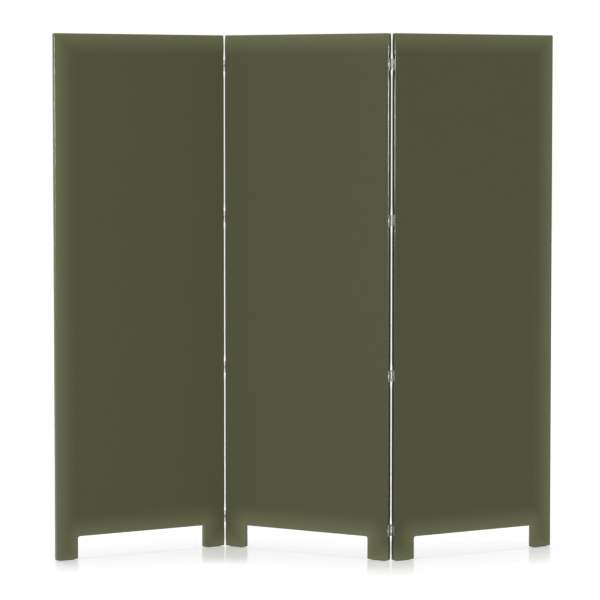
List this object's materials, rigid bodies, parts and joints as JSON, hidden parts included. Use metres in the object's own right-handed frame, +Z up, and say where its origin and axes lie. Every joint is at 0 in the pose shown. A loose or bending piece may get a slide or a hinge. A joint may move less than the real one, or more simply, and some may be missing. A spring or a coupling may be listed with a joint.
{
  "type": "folding screen",
  "caption": "Free-standing folding room screen of plain cloth-covered panels on short feet, joined edge to edge by double-action hinges and standing in a zig-zag.",
  "frame": {"origin": "on the floor under the middle of the centre panel, which is the middle of the whole zig-zag", "axes": "+Z up; the viewer of the front looks along +Y; +X runs to the right along the row of panels"},
  "size_m": [1.6272, 0.2986, 1.7],
  "materials": {
    "olive_cloth": "matt olive cover cloth, finely woven",
    "frame_timber": "planed pine, uncoated",
    "hardboard": "smooth brown hardboard",
    "hinge_nickel": "nickel-plated steel, bright",
    "screw_steel": "nickel-plated steel, bright",
    "foot_glide": "black moulded plastic, matt"
  },
  "bodies": {
    "centre_panel": {"centre_panel_back_board": "hardboard", "centre_panel_back_cover": "olive_cloth", "centre_panel_bottom_rail": "frame_timber", "centre_panel_foot_pads": "foot_glide", "centre_panel_front_board": "hardboard", "centre_panel_front_cover": "olive_cloth", "centre_panel_hinge_pins": "hinge_nickel", "centre_panel_hinge_screws": "screw_steel", "centre_panel_left_stile": "frame_timber", "centre_panel_middle_rail": "frame_timber", "centre_panel_right_stile": "frame_timber", "centre_panel_top_rail": "frame_timber", "left_hinge_1_rear_leaf": "hinge_nickel", "left_hinge_2_rear_leaf": "hinge_nickel", "left_hinge_3_rear_leaf": "hinge_nickel", "left_hinge_4_rear_leaf": "hinge_nickel", "right_hinge_1_front_leaf": "hinge_nickel", "right_hinge_2_front_leaf": "hinge_nickel", "right_hinge_3_front_leaf": "hinge_nickel", "right_hinge_4_front_leaf": "hinge_nickel"},
    "left_panel": {"left_hinge_1_front_leaf": "hinge_nickel", "left_hinge_2_front_leaf": "hinge_nickel", "left_hinge_3_front_leaf": "hinge_nickel", "left_hinge_4_front_leaf": "hinge_nickel", "left_panel_back_board": "hardboard", "left_panel_back_cover": "olive_cloth", "left_panel_bottom_rail": "frame_timber", "left_panel_foot_pads": "foot_glide", "left_panel_front_board": "hardboard", "left_panel_front_cover": "olive_cloth", "left_panel_hinge_pins": "hinge_nickel", "left_panel_hinge_screws": "screw_steel", "left_panel_left_stile": "frame_timber", "left_panel_middle_rail": "frame_timber", "left_panel_right_stile": "frame_timber", "left_panel_top_rail": "frame_timber"},
    "left_links": {"left_hinge_1_link": "hinge_nickel", "left_hinge_2_link": "hinge_nickel", "left_hinge_3_link": "hinge_nickel", "left_hinge_4_link": "hinge_nickel"},
    "right_links": {"right_hinge_1_link": "hinge_nickel", "right_hinge_2_link": "hinge_nickel", "right_hinge_3_link": "hinge_nickel", "right_hinge_4_link": "hinge_nickel"},
    "right_panel": {"right_hinge_1_rear_leaf": "hinge_nickel", "right_hinge_2_rear_leaf": "hinge_nickel", "right_hinge_3_rear_leaf": "hinge_nickel", "right_hinge_4_rear_leaf": "hinge_nickel", "right_panel_back_board": "hardboard", "right_panel_back_cover": "olive_cloth", "right_panel_bottom_rail": "frame_timber", "right_panel_foot_pads": "foot_glide", "right_panel_front_board": "hardboard", "right_panel_front_cover": "olive_cloth", "right_panel_hinge_pins": "hinge_nickel", "right_panel_hinge_screws": "screw_steel", "right_panel_left_stile": "frame_timber", "right_panel_middle_rail": "frame_timber", "right_panel_right_stile": "frame_timber", "right_panel_top_rail": "frame_timber"}
  },
  "joints": [
    {"name": "left_rear_hinge", "type": "hinge", "parent": "centre_panel", "child": "left_links", "pos_m": [-0.26249, 0.14763, 0.85], "axis": [0, 0, 1], "range_deg": [-90, 0]},
    {"name": "left_front_hinge", "type": "hinge", "parent": "left_links", "child": "left_panel", "pos_m": [-0.27238, 0.1308, 0.85], "axis": [0, 0, 1], "range_deg": [-55, 125]},
    {"name": "right_front_hinge", "type": "hinge", "parent": "centre_panel", "child": "right_links", "pos_m": [0.26249, -0.14763, 0.85], "axis": [0, 0, 1], "range_deg": [-90, 0]},
    {"name": "right_rear_hinge", "type": "hinge", "parent": "right_links", "child": "right_panel", "pos_m": [0.27238, -0.1308, 0.85], "axis": [0, 0, 1], "range_deg": [-55, 125]}
  ]
}
